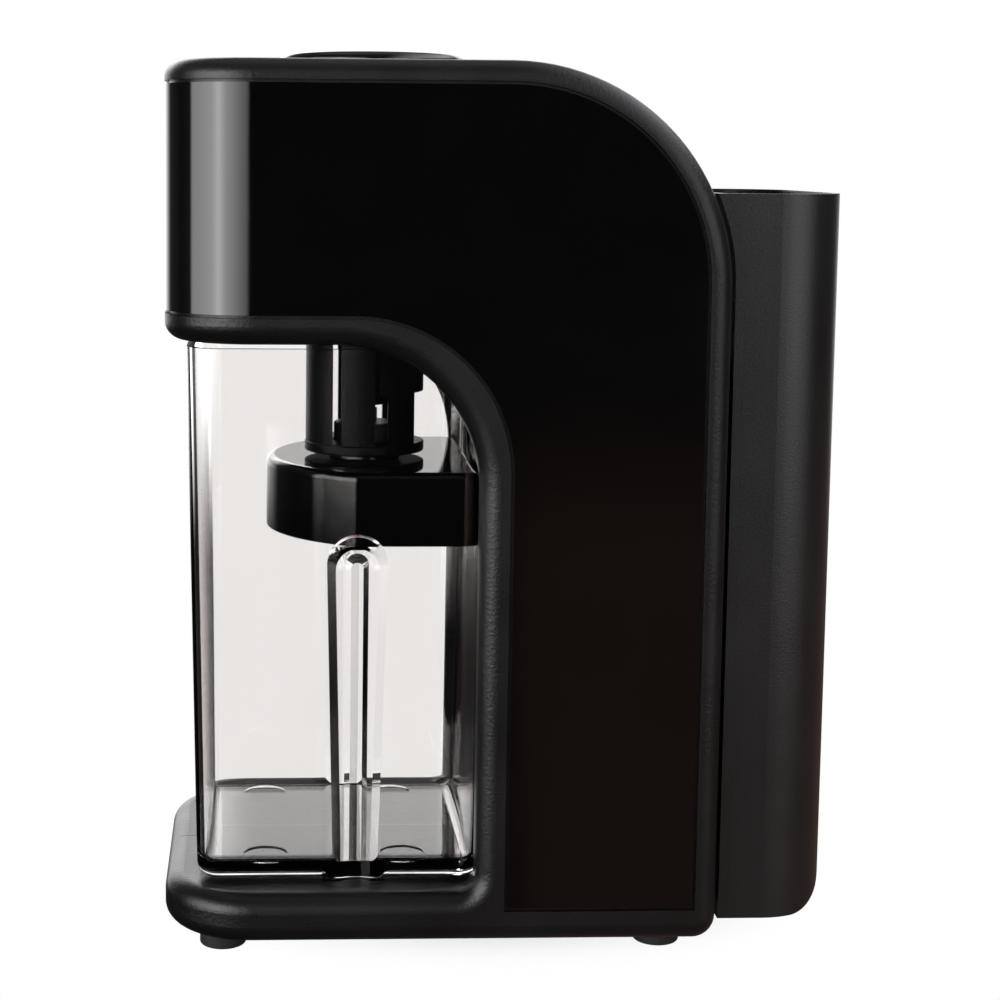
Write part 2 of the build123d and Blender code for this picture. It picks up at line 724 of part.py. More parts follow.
# ---------------------------------------------------------------- tower under the head
def tower_slice(x0, x1, foot):
    """Wall of the tower between two cross planes, from the given height up to the head."""
    with BuildPart() as piece:
        with Locations((AXIS_X, 0, (foot + CHIN_Z + 1) / 2)):
            Cylinder(TOWER_R, CHIN_Z + 1 - foot)
            Cylinder(TOWER_BORE_R, 100, mode=Mode.SUBTRACT)
        with Locations(((x0 + x1) / 2, 0, foot)):
            Box(x1 - x0, 100, 200, mode=Mode.INTERSECT)
    return piece.part


# half plate that ties the sleeve to the rear pillars under the head
with BuildPart() as tower_top:
    with Locations((AXIS_X, 0, CHIN_Z - 1.5)):
        Cylinder(TOWER_R, 3.0)
    with Locations((TOWER_PILLARS[1][0] + 50.0, 0, CHIN_Z)):
        Box(100.0, 100.0, 20.0, mode=Mode.INTERSECT)

with BuildPart() as drive_tower:
    with Locations((AXIS_X, 0, TOWER_FOOT + 1.6)):
        Cylinder(TOWER_R + 0.3, 3.2)
    fillet(drive_tower.edges().filter_by(GeomType.CIRCLE), 0.6)
    for x0, x1 in TOWER_PILLARS:
        add(tower_slice(x0, x1, TOWER_FOOT + 2))
    add(tower_slice(-36.0, -20.0, 165.0))
    with Locations((AXIS_X, 0, CHIN_Z - 2.0)):
        Cylinder(8.5, 8.0)
    with Locations((AXIS_X, 0, (SLEEVE_FOOT + CHIN_Z) / 2)):
        Cylinder(SLEEVE_R, CHIN_Z - SLEEVE_FOOT)
    add(tower_top.part)
    add(bay_side, mode=Mode.SUBTRACT)
    with Locations((AXIS_X, 0, 186.0)):
        Cylinder(COLLAR_R, 11.0)
    with Locations((AXIS_X, 0, TOWER_FOOT + 1.4 + 4)):
        Cylinder(10.2, 8.0, mode=Mode.SUBTRACT)
    with Locations((AXIS_X, 0, CHIN_Z)):
        Cylinder(3.5, 60.0, mode=Mode.SUBTRACT)
save(drive_tower, "drive_tower")

with BuildPart() as tower_bush:
    with Locations((AXIS_X, 0, 182.0)):
        Cylinder(3.5, 10.0)
        Cylinder(2.05, 20.0, mode=Mode.SUBTRACT)
save(tower_bush, "tower_bush")

with BuildPart() as tower_nut:
    with BuildSketch(Plane.XY.offset(186.5)):
        with Locations((AXIS_X, 0)):
            RegularPolygon(9.5, 6)
            Circle(COLLAR_R, mode=Mode.SUBTRACT)
    extrude(amount=2.6)
save(tower_nut, "tower_nut")

# ---------------------------------------------------------------- whisk in the froth chamber
with BuildPart() as whisk_hub:
    with Locations((AXIS_X, 0, 140.7)):
        Cylinder(9.4, 6.8)
    fillet(whisk_hub.edges().filter_by(GeomType.CIRCLE), 0.4)
    with Locations((AXIS_X, 0, 144.1)):
        with PolarLocations(6.2, 4):
            Cylinder(2.5, 3.0, mode=Mode.SUBTRACT)
    with Locations((AXIS_X, 0, 140.0)):
        Cylinder(2.0, 6.0, mode=Mode.SUBTRACT)
save(whisk_hub, "whisk_hub")

with BuildPart() as driven_magnets:
    with Locations((AXIS_X, 0, 143.35)):
        with PolarLocations(6.2, 4):
            Cylinder(2.5, 1.5)
save(driven_magnets, "driven_magnets")

with BuildPart() as whisk_shaft:
    with Locations((AXIS_X, 0, (124.4 + 142.6) / 2)):
        Cylinder(2.0, 142.6 - 124.4)
save(whisk_shaft, "whisk_shaft")

with BuildPart() as froth_disc:
    with Locations((AXIS_X, 0, 130.4)):
        Cylinder(14.5, 1.2)
        Cylinder(4.0, 5.0)
    with Locations((AXIS_X, 0, 130.4)):
        with PolarLocations(9.5, 6):
            Cylinder(2.6, 10.0, mode=Mode.SUBTRACT)
        Cylinder(2.0, 10.0, mode=Mode.SUBTRACT)
save(froth_disc, "froth_disc")

with BuildPart() as whisk_coil:
    with BuildSketch(Plane(origin=(AXIS_X + 16.05, 0, 130.4), x_dir=(1, 0, 0),
                           z_dir=(0, 1, 0))):
        Circle(1.5)
    revolve(axis=Axis((AXIS_X, 0, 0), (0, 0, 1)))
    with Locations((AXIS_X, 0, 130.4)):
        with PolarLocations(17.2, 36):
            Box(2.4, 0.9, 6.0, mode=Mode.SUBTRACT)
save(whisk_coil, "whisk_coil")

# ---------------------------------------------------------------- rear tank
TANK_GAP = 1.8          # between the case and the tank front wall
RAIL_TOP = 160.0
RAIL_NECK = 8.0
RAIL_HEAD = 13.4
RAIL_FOOT = 40.0
CHANNEL_W = 21.0


def tank_side(gap, rear, bottom, top, heel):
    """Side outline of the tank, its front following the case's back arc."""
    x0 = REAR + gap
    cx = REAR - BACK_R
    cz = TOP_Z - BACK_R
    r = BACK_R + gap
    xt = cx + (r ** 2 - (top - cz) ** 2) ** 0.5
    with BuildLine() as line:
        q0 = (x0, bottom)
        q1 = (rear - heel, bottom)
        q2 = (rear, bottom + heel)
        q3 = (rear, top)
        q4 = (xt, top)
        q5 = (x0, cz)
        Line(q0, q1)
        RadiusArc(q1, q2, -heel)
        Line(q2, q3)
        Line(q3, q4)
        RadiusArc(q4, q5, r)
        Line(q5, q0)
    return line.line


def tank_plan(inset, z0, z1):
    with BuildPart() as prism:
        with BuildSketch(Plane.XY.offset(z0)) as plan:
            with Locations(((TANK_REAR - inset) / 2, 0)):
                Rectangle(TANK_REAR - inset, 2 * (TANK_HALF - inset))
            rear = [v for v in plan.vertices() if v.X > 50]
            fillet(rear, TANK_R - inset)
        extrude(amount=z1 - z0)
    return prism.part


with BuildPart() as tank_hollow:
    add(side_prism(tank_side(TANK_GAP + TANK_WALL, TANK_REAR - TANK_WALL, TANK_Z + TANK_WALL,
                             TANK_TOP + 5, TANK_HEEL_R - TANK_WALL), 80))
    add(tank_plan(TANK_WALL, 0, 300), mode=Mode.INTERSECT)

# front wall of the tank, a little wider than its body
with BuildPart() as tank_lip:
    add(side_prism(tank_side(TANK_GAP, 80.0, TANK_Z + 6, TANK_TOP, 1.0), TANK_HALF + 1.0))
    add(side_prism(tank_side(TANK_GAP + 2.6, 81.0, TANK_Z + 1, TANK_TOP + 20, 1.0), 80),
        mode=Mode.SUBTRACT)

with BuildPart() as tank:
    add(side_prism(tank_side(TANK_GAP, TANK_REAR, TANK_Z, TANK_TOP,
                             TANK_HEEL_R), 80))
    add(tank_plan(0, 0, 300), mode=Mode.INTERSECT)
    add(tank_hollow.part, mode=Mode.SUBTRACT)
    add(tank_lip.part)
    # dovetail-like channel in the front wall that drops over the hanger rail
    with Locations((REAR + TANK_GAP + 3.6, 0, (TANK_Z + 180.0) / 2)):
        Box(7.2, CHANNEL_W, 180.0 - TANK_Z)
    with Locations((REAR + 2.0, 0, RAIL_TOP / 2)):
        Box(6.0, RAIL_NECK + 0.6, RAIL_TOP + 0.1, mode=Mode.SUBTRACT)
    with Locations((REAR + 5.45, 0, RAIL_TOP / 2)):
        Box(2.8, RAIL_HEAD + 0.6, RAIL_TOP + 0.1, mode=Mode.SUBTRACT)
save(tank, "tank")

with BuildPart() as tank_rail:
    with Locations((REAR + 0.7, 0, 110.0)):
        Box(1.4, 38.0, 130.0)
    with Locations((REAR + 2.8, 0, (RAIL_FOOT + RAIL_TOP) / 2)):
        Box(5.6, RAIL_NECK, RAIL_TOP - RAIL_FOOT)
    with Locations((REAR + 5.45, 0, (RAIL_FOOT + RAIL_TOP) / 2)):
        Box(2.0, RAIL_HEAD, RAIL_TOP - RAIL_FOOT)
    for sy in (-1, 1):
        for rz in RAIL_HOLES_Z:
            with Locations(Location((REAR, sy * RAIL_HOLE_Y, rz), (0, 90, 0))):
                Cylinder(1.7, 12, mode=Mode.SUBTRACT)
            with Locations(Location((REAR + 1.4, sy * RAIL_HOLE_Y, rz), (0, 90, 0))):
                Cylinder(2.9, 2.0, mode=Mode.SUBTRACT)
save(tank_rail, "tank_rail")

with BuildPart() as rail_screws:
    for sy in (-1, 1):
        for rz in RAIL_HOLES_Z:
            with Locations(Location((REAR + 0.85, sy * RAIL_HOLE_Y, rz), (0, 90, 0))):
                Cylinder(2.8, 0.9)
            with Locations(Location((REAR - 1.6, sy * RAIL_HOLE_Y, rz), (0, 90, 0))):
                Cylinder(1.55, 4.2)
save(rail_screws, "rail_screws")

# ---------------------------------------------------------------- wiring
def tube(points, radius):
    with BuildPart() as wire:
        with BuildLine() as path:
            Spline(*points)
        with BuildSketch(Plane(path.line @ 0, z_dir=path.line % 0)):
            Circle(radius)
        sweep()
    return wire


supply_lead = tube([(GLAND_X, 49.4, GLAND_Z), (GLAND_X, 44.0, 13.0), (GLAND_X, 38.0, 40.0),
                    (GLAND_X, 30.0, 100.0), (GLAND_X, 22.0, 138.0), (GLAND_X, 12.0, 146.0),
                    (GLAND_X, 7.6, 140.0), (GLAND_X, 7.4, 133.4)], 1.8)
save(supply_lead, "supply_lead")

motor_lead = tube([(20.0, 13.0, 139.2), (24.0, 11.0, 160.0), (24.0, 8.0, 190.0),
                   (16.0, 8.0, 225.0), (-8.0, 8.0, 238.0), (AXIS_X + 14.0, 8.2, 238.4),
                   (AXIS_X + 6.4, 8.2, 238.2)], 0.9)
save(motor_lead, "motor_lead")
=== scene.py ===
import json
import math

import bpy
from mathutils import Matrix, Vector


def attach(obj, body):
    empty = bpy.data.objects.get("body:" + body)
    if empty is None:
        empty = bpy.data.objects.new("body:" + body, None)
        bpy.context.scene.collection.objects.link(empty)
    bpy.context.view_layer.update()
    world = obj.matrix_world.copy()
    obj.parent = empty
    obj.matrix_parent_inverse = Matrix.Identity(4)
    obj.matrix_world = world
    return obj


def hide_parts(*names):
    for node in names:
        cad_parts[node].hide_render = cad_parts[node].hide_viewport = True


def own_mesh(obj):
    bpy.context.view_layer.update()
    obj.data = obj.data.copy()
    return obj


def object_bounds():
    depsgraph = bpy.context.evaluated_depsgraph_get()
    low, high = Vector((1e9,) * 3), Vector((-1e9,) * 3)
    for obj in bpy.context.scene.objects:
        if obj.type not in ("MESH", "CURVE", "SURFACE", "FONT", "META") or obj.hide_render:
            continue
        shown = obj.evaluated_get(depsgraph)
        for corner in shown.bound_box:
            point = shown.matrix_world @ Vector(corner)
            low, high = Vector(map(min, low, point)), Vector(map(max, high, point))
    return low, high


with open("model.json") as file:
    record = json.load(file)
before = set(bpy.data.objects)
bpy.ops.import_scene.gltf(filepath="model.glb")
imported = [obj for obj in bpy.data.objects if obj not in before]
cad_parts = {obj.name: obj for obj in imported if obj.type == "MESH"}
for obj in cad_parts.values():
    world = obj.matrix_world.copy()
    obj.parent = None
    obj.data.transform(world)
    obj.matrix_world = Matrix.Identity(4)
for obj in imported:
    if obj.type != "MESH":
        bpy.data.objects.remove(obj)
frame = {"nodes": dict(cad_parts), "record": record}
cad_lo, cad_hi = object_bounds()
nodes = frame["nodes"]

GRAIN_CELLS = 0.55          # scale of a moulded grain's cells, as a share of its fine noise
GRAIN_CELL_DEPTH = 0.6      # and their depth, as a share of its own
ROUGH_SPREAD = 0.06         # how much the roughness of moulded plastic wanders
METAL_SPREAD = 0.16         # and that of worked metal, between its marks
PLASTIC_IOR = 1.5
ACRYLIC_IOR = 1.49
MIX_FIRST, MIX_SECOND, MIX_RESULT = 6, 7, 2     # colour sockets of a Mix node
JUG_FLOOR_SHADE_TINT = (0.80, 0.765, 0.75, 1.0)     # painted shade: darker brownish tint of the jug's thick floor and other level faces
SHADOW_TINT = (0.9, 0.885, 0.87, 1.0)     # lamp light that has passed through the jug
FLOOR_MARGIN = 0.03         # floor left round the object
FLOOR_COVER = 0.55          # how solid the floor is at its middle


# ---------------------------------------------------------------- node helpers
class Maker:
    """Small wrapper that adds nodes to a material and links them by socket name."""

    def __init__(self, name):
        self.mat = bpy.data.materials.new(name)
        self.mat.use_nodes = True
        self.tree = self.mat.node_tree
        self.bsdf = self.tree.nodes["Principled BSDF"]
        self.out = self.tree.nodes["Material Output"]
        self.coords = self.tree.nodes.new("ShaderNodeTexCoord")

    def add(self, kind, **values):
        node = self.tree.nodes.new(kind)
        for key, value in values.items():
            if key in node.inputs:
                node.inputs[key].default_value = value
            else:
                setattr(node, key, value)
        return node

    def link(self, a, a_out, b, b_in):
        self.tree.links.new(a.outputs[a_out], b.inputs[b_in])

    def shader(self, **values):
        for key, value in values.items():
            self.bsdf.inputs[key.replace("_", " ")].default_value = value

    def place(self, scale=(1.0, 1.0, 1.0)):
        """Object coordinates, stretched by a mapping node."""
        mapping = self.add("ShaderNodeMapping")
        mapping.inputs["Scale"].default_value = scale
        self.link(self.coords, "Object", mapping, "Vector")
        return mapping

    def noise(self, scale, detail=3.0, rough=0.55, stretch=None):
        node = self.add("ShaderNodeTexNoise", Scale=scale, Detail=detail, Roughness=rough)
        place = self.place(stretch or (1.0, 1.0, 1.0))
        self.link(place, "Vector", node, "Vector")
        return node

    def ramp(self, source, out, low, high, a=0.0, b=1.0):
        """Maps a value between low and high onto a..b."""
        node = self.add("ShaderNodeMapRange")
        node.inputs["From Min"].default_value = low
        node.inputs["From Max"].default_value = high
        node.inputs["To Min"].default_value = a
        node.inputs["To Max"].default_value = b
        self.link(source, out, node, "Value")
        return node

    def tint(self, source, out, dark, light):
        """Base colour that varies between two shades."""
        ramp = self.add("ShaderNodeValToRGB")
        ramp.color_ramp.elements[0].position = 0.3
        ramp.color_ramp.elements[0].color = (*dark, 1.0)
        ramp.color_ramp.elements[1].position = 0.7
        ramp.color_ramp.elements[1].color = (*light, 1.0)
        self.link(source, out, ramp, "Fac")
        self.link(ramp, "Color", self.bsdf, "Base Color")
        return ramp

    def roughness(self, source, out, low, high, a, b):
        node = self.ramp(source, out, low, high, a, b)
        self.link(node, "Result", self.bsdf, "Roughness")

    def bump(self, layers):
        """Layers of (node, output, depth in metres), stacked into one bump chain."""
        previous = None
        for node, out, depth in layers:
            bump = self.add("ShaderNodeBump", Strength=1.0, Distance=depth)
            self.link(node, out, bump, "Height")
            if previous is not None:
                self.link(previous, "Normal", bump, "Normal")
            previous = bump
        self.link(previous, "Normal", self.bsdf, "Normal")


# ---------------------------------------------------------------- materials
def moulded(name, dark, light, grain, depth, rough, specular=0.4):
    """Moulded plastic with a spark-eroded grain."""
    m = Maker(name)
    m.shader(Specular_IOR_Level=specular, IOR=PLASTIC_IOR)
    fine = m.noise(grain, 2.0, 0.6)
    cells = m.add("ShaderNodeTexVoronoi", Scale=grain * GRAIN_CELLS)
    m.link(m.place(), "Vector", cells, "Vector")
    broad = m.noise(35.0, 3.0, 0.5)
    m.tint(broad, "Fac", dark, light)
    m.roughness(broad, "Fac", 0.3, 0.7, rough - ROUGH_SPREAD / 2, rough + ROUGH_SPREAD / 2)
    m.bump([(fine, "Fac", depth), (cells, "Distance", depth * GRAIN_CELL_DEPTH)])
    return m.mat


def piano_black(name):
    """Polished black: faint orange peel, hairline wipe marks and a dusting of haze."""
    m = Maker(name)
    m.shader(IOR=ACRYLIC_IOR, Specular_IOR_Level=0.5)
    peel = m.noise(140.0, 1.0, 0.4)
    broad = m.noise(18.0, 4.0, 0.6)
    wipes = m.noise(900.0, 2.0, 0.5, (1.0, 1.0, 0.06))
    m.tint(broad, "Fac", (0.0006, 0.0006, 0.0006), (0.0014, 0.0013, 0.0012))
    m.roughness(broad, "Fac", 0.35, 0.75, 0.035, 0.075)
    m.bump([(peel, "Fac", 0.00001), (wipes, "Fac", 0.0000012)])
    return m.mat


def clear_plastic(name):
    """Clear, faintly smoke-tinted plastic, with painted shade as a darker brownish tint on its
    level walls, that lets lamp light through.
    """
    m = Maker(name)
    m.shader(IOR=ACRYLIC_IOR, Transmission_Weight=1.0, Specular_IOR_Level=0.5)
    flow = m.noise(22.0, 2.0, 0.45, (1.0, 1.0, 0.35))
    dust = m.noise(600.0, 2.0, 0.7)
    walls = m.tint(flow, "Fac", (0.962, 0.944, 0.936), (0.980, 0.966, 0.958))
    facing = m.add("ShaderNodeSeparateXYZ")
    m.link(m.add("ShaderNodeNewGeometry"), "Normal", facing, "Vector")
    flatness = m.add("ShaderNodeMath", operation="ABSOLUTE")
    m.link(facing, "Z", flatness, 0)
    # painted shade: faces that lie level, the jug's floor above all, take the darker brownish tint
    shaded_level_part = m.ramp(flatness, "Value", 0.75, 0.95)
    smoky_and_shade = m.add("ShaderNodeMix", data_type="RGBA")
    m.link(shaded_level_part, "Result", smoky_and_shade, "Factor")
    m.link(walls, "Color", smoky_and_shade, MIX_FIRST)
    smoky_and_shade.inputs[MIX_SECOND].default_value = JUG_FLOOR_SHADE_TINT
    m.link(smoky_and_shade, MIX_RESULT, m.bsdf, "Base Color")
    m.roughness(dust, "Fac", 0.55, 0.8, 0.004, 0.03)
    m.bump([(flow, "Fac", 0.00005)])
    path = m.add("ShaderNodeLightPath")
    clear = m.add("ShaderNodeBsdfTransparent", Color=SHADOW_TINT)
    mix = m.add("ShaderNodeMixShader")
    m.link(path, "Is Shadow Ray", mix, "Fac")
    m.tree.links.new(m.bsdf.outputs["BSDF"], mix.inputs[1])
    m.tree.links.new(clear.outputs["BSDF"], mix.inputs[2])
    m.link(mix, "Shader", m.out, "Surface")
    return m.mat


def soft_rubber(name):
    """Matt, slightly uneven rubber."""
    m = Maker(name)
    m.shader(IOR=PLASTIC_IOR, Specular_IOR_Level=0.35)
    fine = m.noise(1800.0, 3.0, 0.65)
    broad = m.noise(60.0, 4.0, 0.6)
    m.tint(broad, "Fac", (0.004, 0.004, 0.004), (0.009, 0.009, 0.0085))
    m.roughness(broad, "Fac", 0.3, 0.7, 0.62, 0.8)
    m.bump([(fine, "Fac", 0.00006)])
    return m.mat


def worked_metal(name, dark, light, rough, stretch):
    """Turned, brushed or plated metal: fine directional marks and slight staining."""
    m = Maker(name)
    m.shader(Metallic=1.0, Anisotropic=0.4)
    marks = m.noise(900.0, 3.0, 0.6, stretch)
    stain = m.noise(70.0, 4.0, 0.6)
    m.tint(stain, "Fac", dark, light)
    m.roughness(marks, "Fac", 0.3, 0.7, rough, rough + METAL_SPREAD)
    m.bump([(marks, "Fac", 0.000012)])
    return m.mat


def wound_copper(name):
    """Enamelled windings: bands of wire along the armature."""
    m = Maker(name)
    m.shader(Metallic=0.85, Coat_Weight=0.4)
    wires = m.add("ShaderNodeTexWave", Scale=420.0, Distortion=1.2)
    wires.bands_direction = "Z"
    m.link(m.place(), "Vector", wires, "Vector")
    broad = m.noise(90.0, 3.0, 0.6)
    m.tint(broad, "Fac", (0.36, 0.12, 0.05), (0.62, 0.26, 0.10))
    m.roughness(broad, "Fac", 0.3, 0.7, 0.3, 0.45)
    m.bump([(wires, "Fac", 0.0001)])
    return m.mat


def circuit_board(name):
    """Solder mask with a maze of tracks just under it."""
    m = Maker(name)
    m.shader(Specular_IOR_Level=0.5, Coat_Weight=0.3)
    tracks = m.add("ShaderNodeTexBrick", Scale=160.0)
    tracks.inputs["Mortar Size"].default_value = 0.035
    tracks.inputs["Color1"].default_value = (0.004, 0.060, 0.028, 1.0)
    tracks.inputs["Color2"].default_value = (0.006, 0.085, 0.040, 1.0)
    tracks.inputs["Mortar"].default_value = (0.015, 0.150, 0.060, 1.0)
    m.link(m.place(), "Vector", tracks, "Vector")
    m.link(tracks, "Color", m.bsdf, "Base Color")
    fine = m.noise(500.0, 2.0, 0.5)
    m.roughness(fine, "Fac", 0.3, 0.7, 0.25, 0.4)
    m.bump([(tracks, "Fac", 0.00003)])
    return m.mat


MATERIALS = {
    "satin_black": moulded("satin_black", (0.0030, 0.0029, 0.0028), (0.0048, 0.0046, 0.0044),
                           1500.0, 0.00006, 0.34, 0.32),
    "gloss_black": piano_black("gloss_black"),
    # painted shade: a darker copy of satin black for the drive tower and its bush, with lower
    # specular
    "tower_shaded_black": moulded("tower_shaded_black", (0.0022, 0.0021, 0.0021), (0.0034, 0.0033, 0.0032),
                           1700.0, 0.00005, 0.40, 0.10),
    "tank_black": moulded("tank_black", (0.0040, 0.0039, 0.0042), (0.0062, 0.0060, 0.0064),
                          2600.0, 0.00003, 0.30, 0.5),
    "clear": clear_plastic("clear"),
    "rubber_black": soft_rubber("rubber_black"),
    "steel": worked_metal("steel", (0.42, 0.42, 0.43), (0.62, 0.62, 0.63), 0.2,
                          (1.0, 1.0, 0.05)),
    "zinc_screw": worked_metal("zinc_screw", (0.38, 0.40, 0.43), (0.56, 0.58, 0.62), 0.3,
                               (0.05, 1.0, 1.0)),
    "motor_steel": worked_metal("motor_steel", (0.30, 0.31, 0.32), (0.44, 0.45, 0.46), 0.32,
                                (1.0, 1.0, 0.08)),
    "brass": worked_metal("brass", (0.48, 0.32, 0.11), (0.66, 0.48, 0.19), 0.28,
                          (1.0, 1.0, 0.1)),
    "magnet": worked_metal("magnet", (0.48, 0.48, 0.50), (0.64, 0.64, 0.66), 0.12,
                           (1.0, 1.0, 1.0)),
    "grey_plastic": moulded("grey_plastic", (0.05, 0.053, 0.057), (0.075, 0.079, 0.084),
                            1900.0, 0.00005, 0.5),
    "white_plastic": moulded("white_plastic", (0.60, 0.59, 0.54), (0.72, 0.71, 0.66),
                             1400.0, 0.00004, 0.45),
    "copper": wound_copper("copper"),
    "board_green": circuit_board("board_green"),
    "wire": moulded("wire", (0.012, 0.012, 0.014), (0.03, 0.03, 0.034), 900.0, 0.00006, 0.42),
    "cap_black": moulded("cap_black", (0.010, 0.013, 0.028), (0.022, 0.027, 0.05),
                         700.0, 0.00003, 0.3),
}

# parts in a darker copy of satin black, painted shade, with a duller finish than their slot's
SHADED_FINISH = {"drive_tower": "tower_shaded_black", "tower_bush": "tower_shaded_black"}

for part in frame["record"]["subparts"]:
    shown = nodes[part["node"]]
    material = MATERIALS[SHADED_FINISH.get(part["node"], part["material_slot"])]
    for entry in shown.material_slots:
        entry.material = material
    if not shown.material_slots:
        shown.data.materials.append(material)

# the button's spring, copied with a mesh of its own and carried by the button's body in place of
# the original part
spring = bpy.data.objects.new("button_spring_coils", nodes["button_spring"].data.copy())
bpy.context.scene.collection.objects.link(spring)
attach(spring, "button")
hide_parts("button_spring")
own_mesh(spring)


# ---------------------------------------------------------------- floor and studio
def plane(name, x0, x1, y0, y1, z):
    """Level rectangle."""
    mesh = bpy.data.meshes.new(name)
    mesh.from_pydata([(x0, y0, z), (x1, y0, z), (x1, y1, z), (x0, y1, z)], [], [(0, 1, 2, 3)])
    obj = bpy.data.objects.new(name, mesh)
    bpy.context.scene.collection.objects.link(obj)
    return obj


# white floor that fades out around the object, so that only a contact shadow is left
floor = plane("floor", cad_lo.x - FLOOR_MARGIN, cad_hi.x + FLOOR_MARGIN,
              cad_lo.y - FLOOR_MARGIN, cad_hi.y + FLOOR_MARGIN, cad_lo.z)
floor_look = Maker("floor_white")
floor_look.shader(Roughness=0.6, Specular_IOR_Level=0.3)
floor_grain = floor_look.noise(6.0, 4.0, 0.5)
floor_look.tint(floor_grain, "Fac", (0.86, 0.86, 0.86), (0.90, 0.90, 0.90))
floor_centre = floor_look.add("ShaderNodeMapping")
floor_centre.inputs["Location"].default_value = (-1.0, -1.0, 0.0)
floor_centre.inputs["Scale"].default_value = (2.0, 2.0, 1.0)
floor_look.link(floor_look.coords, "Generated", floor_centre, "Vector")
floor_ball = floor_look.add("ShaderNodeTexGradient", gradient_type="QUADRATIC_SPHERE")
floor_look.link(floor_centre, "Vector", floor_ball, "Vector")
floor_fade = floor_look.ramp(floor_ball, "Fac", 0.0, 0.25, 0.0, FLOOR_COVER)
floor_clear = floor_look.add("ShaderNodeBsdfTransparent")
floor_mix = floor_look.add("ShaderNodeMixShader")
floor_look.link(floor_fade, "Result", floor_mix, "Fac")
floor_look.tree.links.new(floor_clear.outputs["BSDF"], floor_mix.inputs[1])
floor_look.tree.links.new(floor_look.bsdf.outputs["BSDF"], floor_mix.inputs[2])
floor_look.link(floor_mix, "Shader", floor_look.out, "Surface")
floor.data.materials.append(floor_look.mat)


def softbox(name, centre, target, width, height, watts):
    """Rectangular lamp facing a point."""
    lamp = bpy.data.lights.new(name, "AREA")
    lamp.shape = "RECTANGLE"
    lamp.size = width
    lamp.size_y = height
    lamp.energy = watts
    obj = bpy.data.objects.new(name, lamp)
    bpy.context.scene.collection.objects.link(obj)
    obj.location = centre
    aim = Vector(target) - Vector(centre)
    obj.rotation_euler = aim.to_track_quat("-Z", "Y").to_euler()


mid = (cad_lo + cad_hi) / 2
softbox("top_box", (-0.05, 0.15, 1.35), mid, 1.2, 0.9, 1.2)

# ---------------------------------------------------------------- studio around the object
# Brightness of the studio by azimuth, in degrees from the camera side, left positive.
STUDIO = [(-180, 0.6), (-150, 0.3), (-125, 0.06), (-72, 0.04), (-60, 1.3), (-38, 2.4), (-17, 1.1),
          (-13, 0.03), (7, 0.03), (9, 2.2), (20, 3.9), (34, 6.0), (44, 10.0), (54, 6.8), (84, 4.2),
          (88, 0.12), (104, 0.04), (135, 0.10), (160, 0.6), (180, 0.6)]
PEAK = 10.0
WHITE = (1.0, 1.0, 1.0, 1.0)
ROOM_FILL = 1.13            # light that matt surfaces receive from all round
GROUND_GLOW = (0.17, 0.095, 0.078, 1.0)     # warm light from below, on the right only
GROUND_DARK = (0.012, 0.012, 0.012, 1.0)
CEILING_DARK = (0.16, 0.16, 0.17, 1.0)
CEILING_GLOW = (3.6, 3.6, 3.85, 1.0)        # the ceiling brightens to the right
REAR_LOW = 1.15             # brightness behind the object, level with it and higher up
REAR_HIGH = 2.4
REAR_LEFT = 2.0             # how much brighter its left part is

world = bpy.data.worlds.new("studio")
bpy.context.scene.world = world
world.use_nodes = True
world.cycles.sampling_method = "NONE"
wt = world.node_tree
wt.nodes.clear()


def w_add(kind, **values):
    """Add a node to the world's tree."""
    node = wt.nodes.new(kind)
    for key, value in values.items():
        setattr(node, key, value)
    return node


def w_math(operation, first, second):
    """Math node on two inputs, each a socket or a number."""
    node = w_add("ShaderNodeMath", operation=operation)
    for k, value in enumerate((first, second)):
        if isinstance(value, (int, float)):
            node.inputs[k].default_value = value
        else:
            wt.links.new(value, node.inputs[k])
    return node.outputs["Value"]


def w_step(value, low, high, to_low=0.0, to_high=1.0, smooth=True):
    """Map a value between low and high onto to_low..to_high."""
    node = w_add("ShaderNodeMapRange")
    node.interpolation_type = "SMOOTHSTEP" if smooth else "LINEAR"
    node.inputs["From Min"].default_value = low
    node.inputs["From Max"].default_value = high
    node.inputs["To Min"].default_value = to_low
    node.inputs["To Max"].default_value = to_high
    wt.links.new(value, node.inputs["Value"])
    return node.outputs["Result"]


def w_background(colour, strength):
    """Background of a colour and a strength, each a socket or a constant."""
    node = w_add("ShaderNodeBackground")
    if isinstance(colour, tuple):
        node.inputs["Color"].default_value = colour
    else:
        wt.links.new(colour, node.inputs["Color"])
    if isinstance(strength, float):
        node.inputs["Strength"].default_value = strength
    else:
        wt.links.new(strength, node.inputs["Strength"])
    return node.outputs["Background"]


def w_mix_shader(fac, first, second):
    """Mix of two shaders."""
    node = w_add("ShaderNodeMixShader")
    wt.links.new(fac, node.inputs["Fac"])
    wt.links.new(first, node.inputs[1])
    wt.links.new(second, node.inputs[2])
    return node.outputs["Shader"]


w_path = w_add("ShaderNodeLightPath")
w_coord = w_add("ShaderNodeTexCoord")
w_split = w_add("ShaderNodeSeparateXYZ")
wt.links.new(w_coord.outputs["Generated"], w_split.inputs["Vector"])
to_left = w_math("MULTIPLY", w_split.outputs["X"], -1.0)
to_camera = w_math("MULTIPLY", w_split.outputs["Y"], -1.0)
azimuth = w_step(w_math("ARCTAN2", to_left, to_camera), -math.pi, math.pi, smooth=False)
profile = w_add("ShaderNodeValToRGB")
for k, (angle, brightness) in enumerate(STUDIO):
    spot = (angle + 180.0) / 360.0
    if k == 0:
        stop = profile.color_ramp.elements[0]
        stop.position = spot
    elif k == len(STUDIO) - 1:
        stop = profile.color_ramp.elements[-1]
        stop.position = spot
    else:
        stop = profile.color_ramp.elements.new(spot)
    shade = brightness / PEAK
    stop.color = (shade, shade, shade, 1.0)
wt.links.new(azimuth, profile.inputs["Fac"])

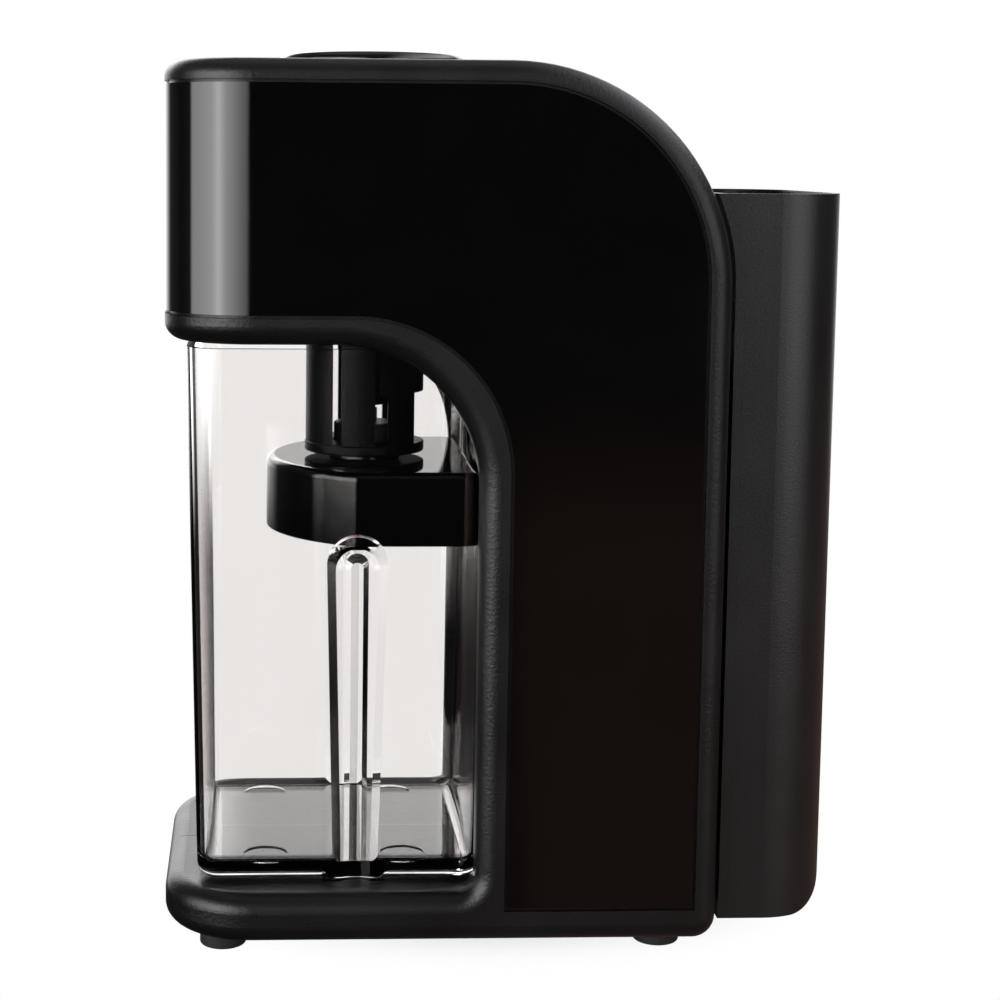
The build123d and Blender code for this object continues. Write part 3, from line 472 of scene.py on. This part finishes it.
# what gloss reflects: the studio all round, a brighter rear, a ceiling and the ground
height = w_split.outputs["Z"]
around = w_background(profile.outputs["Color"], PEAK)
to_right = w_split.outputs["X"]
rear_level = w_math("MULTIPLY", w_step(height, 0.12, 0.34, REAR_LOW, REAR_HIGH),
                    w_step(to_right, 0.0, -0.035, 1.0, REAR_LEFT))
rear = w_background(WHITE, rear_level)
around = w_mix_shader(w_step(w_split.outputs["Y"], 0.68, 0.92), around, rear)
ceiling = w_mix_shader(w_step(to_right, 0.20, 0.80), w_background(CEILING_DARK, 1.0),
                       w_background(CEILING_GLOW, 1.0))
ground = w_mix_shader(w_step(to_right, 0.10, 0.14), w_background(GROUND_DARK, 1.0),
                      w_background(GROUND_GLOW, 1.0))
reflected = w_mix_shader(w_step(height, 0.36, 0.62), around, ceiling)
reflected = w_mix_shader(w_step(height, -0.10, -0.20), reflected, ground)
matt_fill = w_background(WHITE, ROOM_FILL)
white = w_background(WHITE, 1.0)

# white to the camera, straight or through clear walls, and an even fill to matt surfaces
diffuse_depth = w_path.outputs["Diffuse Depth"]
bounces = w_math("ADD", w_path.outputs["Glossy Depth"], diffuse_depth)
straight = w_math("LESS_THAN", bounces, 0.5)
through = w_math("MULTIPLY", w_path.outputs["Is Transmission Ray"], straight)
seen = w_math("MAXIMUM", w_path.outputs["Is Camera Ray"], through)
lit = w_mix_shader(w_math("GREATER_THAN", diffuse_depth, 0.5), reflected, matt_fill)
w_out = w_add("ShaderNodeOutputWorld")
wt.links.new(w_mix_shader(seen, lit, white), w_out.inputs["Surface"])
bpy.context.scene.view_settings.view_transform = "Standard"

# ---------------------------------------------------------------- camera
YAW = math.radians(2.52)
PITCH = math.radians(6.30)
ROLL = math.radians(0.47)
CAMERA_PLACE = (-0.0727, -0.6369, 0.2370)
ahead = Vector((math.sin(YAW) * math.cos(PITCH), math.cos(YAW) * math.cos(PITCH),
                -math.sin(PITCH)))
across = Vector((math.cos(YAW), -math.sin(YAW), 0.0))
above = across.cross(ahead)
right = across * math.cos(ROLL) + above * math.sin(ROLL)
up = above * math.cos(ROLL) - across * math.sin(ROLL)
cam_data = bpy.data.cameras.new("camera")
cam_data.sensor_width = 36.0
cam_data.lens = 73.2
cam_data.shift_x = 0.15
cam_data.shift_y = -0.12
cam_data.clip_start = 0.01
cam = bpy.data.objects.new("camera", cam_data)
bpy.context.scene.collection.objects.link(cam)
turn = Matrix((right, up, -ahead)).transposed().to_4x4()
cam.matrix_world = Matrix.Translation(CAMERA_PLACE) @ turn
bpy.context.scene.camera = cam

bpy.context.view_layer.update()
